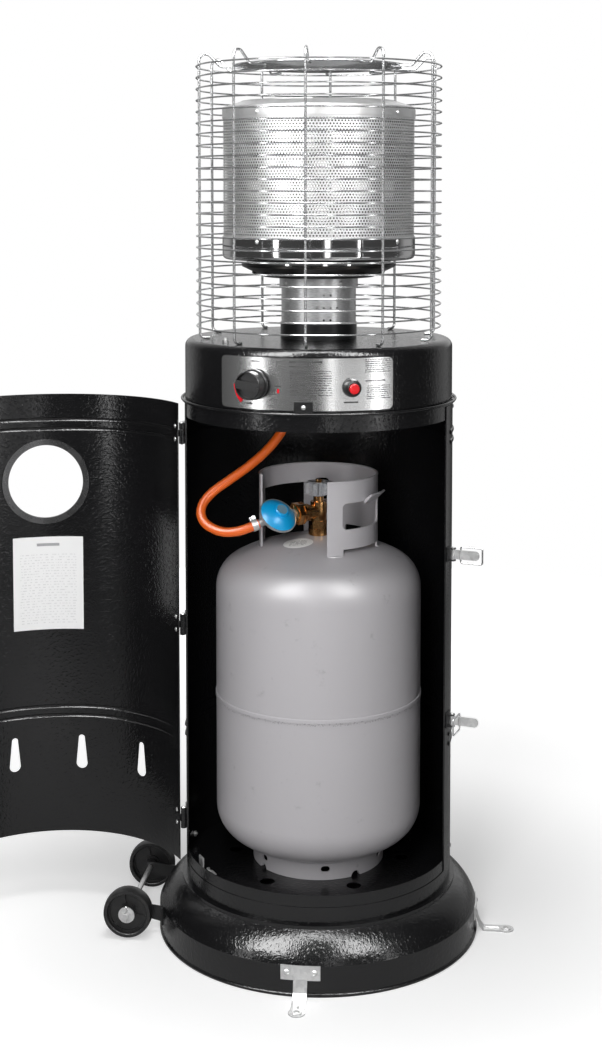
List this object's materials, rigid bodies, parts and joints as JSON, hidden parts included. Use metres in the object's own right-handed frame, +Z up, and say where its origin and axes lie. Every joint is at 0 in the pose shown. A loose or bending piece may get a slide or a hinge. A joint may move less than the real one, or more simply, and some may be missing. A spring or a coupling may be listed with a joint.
{
  "type": "gas patio heater",
  "caption": "Upright gas patio heater: a round cabinet with an open latched door over a gas cylinder, a control drum, and a perforated emitter inside a wire guard.",
  "frame": {"origin": "centre of the base on the ground, on the cabinet axis", "axes": "+Z up the cabinet axis, -Y out of the front between the knob and the button, +X towards the side with the latches"},
  "size_m": [0.8978, 0.61, 1.3504],
  "materials": {
    "black_enamel": "semi-gloss",
    "grey_enamel": "satin",
    "zinc_plate": "satin",
    "blackened_steel": "matte",
    "brushed_steel": "brushed",
    "polished_steel": "polished",
    "wire_chrome": "polished",
    "screen_steel": "satin",
    "brass": "machined",
    "copper": "satin",
    "black_plastic": "matte",
    "grey_plastic": "matte",
    "red_plastic": "glossy",
    "blue_enamel": "glossy",
    "orange_rubber": "satin",
    "wheel_plastic": "matte"
  },
  "bodies": {
    "heater": {"base_shell": "black_enamel", "base_tray": "black_enamel", "tray_bracket": "zinc_plate", "anchor_tabs": "zinc_plate", "base_screws": "zinc_plate", "wheel_bracket": "blackened_steel", "wheel_axle": "zinc_plate", "wheel_retainers": "zinc_plate", "rear_shell": "black_enamel", "housing_screws": "zinc_plate", "shell_rivets": "zinc_plate", "shell_hinge_leaves": "black_enamel", "hinge_pins": "zinc_plate", "latch_brackets": "blackened_steel", "latch_pins": "zinc_plate", "head_skirt": "black_enamel", "head_drum": "black_enamel", "head_screws": "zinc_plate", "control_plate": "brushed_steel", "front_catch": "black_plastic", "gas_valve": "brass", "igniter_housing": "black_plastic", "gas_pipes": "copper", "tilt_switch": "black_plastic", "hose_connector": "brass", "gas_hose": "orange_rubber", "hose_clamps": "zinc_plate", "regulator_body": "zinc_plate", "regulator_cap": "blue_enamel", "regulator_nut": "brass", "cylinder_tank": "grey_enamel", "cylinder_foot": "grey_enamel", "cylinder_collar": "grey_enamel", "cylinder_valve": "brass", "burner_tube": "brushed_steel", "burner_cone": "blackened_steel", "burner_screws": "zinc_plate", "pilot_assembly": "brushed_steel", "emitter_pan": "polished_steel", "emitter_screen": "screen_steel", "emitter_cap": "polished_steel", "guard_cage": "wire_chrome", "guard_dish": "polished_steel"},
    "door": {"door_panel": "black_enamel", "window_trim": "polished_steel", "door_hinge_leaves": "black_enamel", "door_rivets": "zinc_plate", "door_strikes": "zinc_plate"},
    "upper_lever": {"upper_latch_lever": "zinc_plate"},
    "lower_lever": {"lower_latch_lever": "zinc_plate"},
    "upper_bail": {"upper_latch_bail": "wire_chrome"},
    "lower_bail": {"lower_latch_bail": "wire_chrome"},
    "knob_push": {"thrust_washer": "zinc_plate"},
    "knob": {"control_knob": "black_plastic", "knob_spindle": "brushed_steel"},
    "button": {"igniter_button": "red_plastic"},
    "wheel_front": {"front_wheel": "wheel_plastic"},
    "wheel_rear": {"rear_wheel": "wheel_plastic"},
    "handwheel": {"cylinder_handwheel": "grey_plastic"}
  },
  "joints": [
    {"name": "door_hinge", "type": "hinge", "parent": "heater", "child": "door", "pos_m": [-0.20283, -0.05816, 0.482], "axis": [0, 0, 1], "range_deg": [-16.5, 163.5]},
    {"name": "upper_latch_lever_hinge", "type": "hinge", "parent": "heater", "child": "upper_lever", "pos_m": [0.2086, -0.04421, 0.598], "axis": [0, 0, 1], "range_deg": [-20, 88]},
    {"name": "lower_latch_lever_hinge", "type": "hinge", "parent": "heater", "child": "lower_lever", "pos_m": [0.2086, -0.04421, 0.343], "axis": [0, 0, 1], "range_deg": [-20, 88]},
    {"name": "upper_latch_bail_hinge", "type": "hinge", "parent": "upper_lever", "child": "upper_bail", "pos_m": [0.22013, -0.04752, 0.598], "axis": [0, 0, 1], "range_deg": [-75, 15]},
    {"name": "lower_latch_bail_hinge", "type": "hinge", "parent": "lower_lever", "child": "lower_bail", "pos_m": [0.22013, -0.04752, 0.343], "axis": [0, 0, 1], "range_deg": [0, 105]},
    {"name": "knob_press", "type": "slide", "parent": "heater", "child": "knob_push", "axis": [0.342, 0.9397, 0], "range_m": [0, 0.0035], "stiffness_N_per_m": 3000, "springref_m": -0.002},
    {"name": "knob_turn", "type": "hinge", "parent": "knob_push", "child": "knob", "pos_m": [-0.0684, -0.18794, 0.87], "axis": [-0.342, -0.9397, 0], "range_deg": [0, 210]},
    {"name": "button_press", "type": "slide", "parent": "heater", "child": "button", "axis": [-0.3256, 0.9455, 0], "range_m": [0, 0.006], "stiffness_N_per_m": 1500, "springref_m": -0.002},
    {"name": "front_wheel_spin", "type": "hinge", "parent": "heater", "child": "wheel_front", "pos_m": [-0.284, -0.091, 0.04], "axis": [0, 1, 0], "continuous": true},
    {"name": "rear_wheel_spin", "type": "hinge", "parent": "heater", "child": "wheel_rear", "pos_m": [-0.284, 0.091, 0.04], "axis": [0, 1, 0], "continuous": true},
    {"name": "handwheel_turn", "type": "hinge", "parent": "heater", "child": "handwheel", "pos_m": [0, 0, 0.686], "axis": [0, 0, 1], "range_deg": [0, 900]}
  ]
}
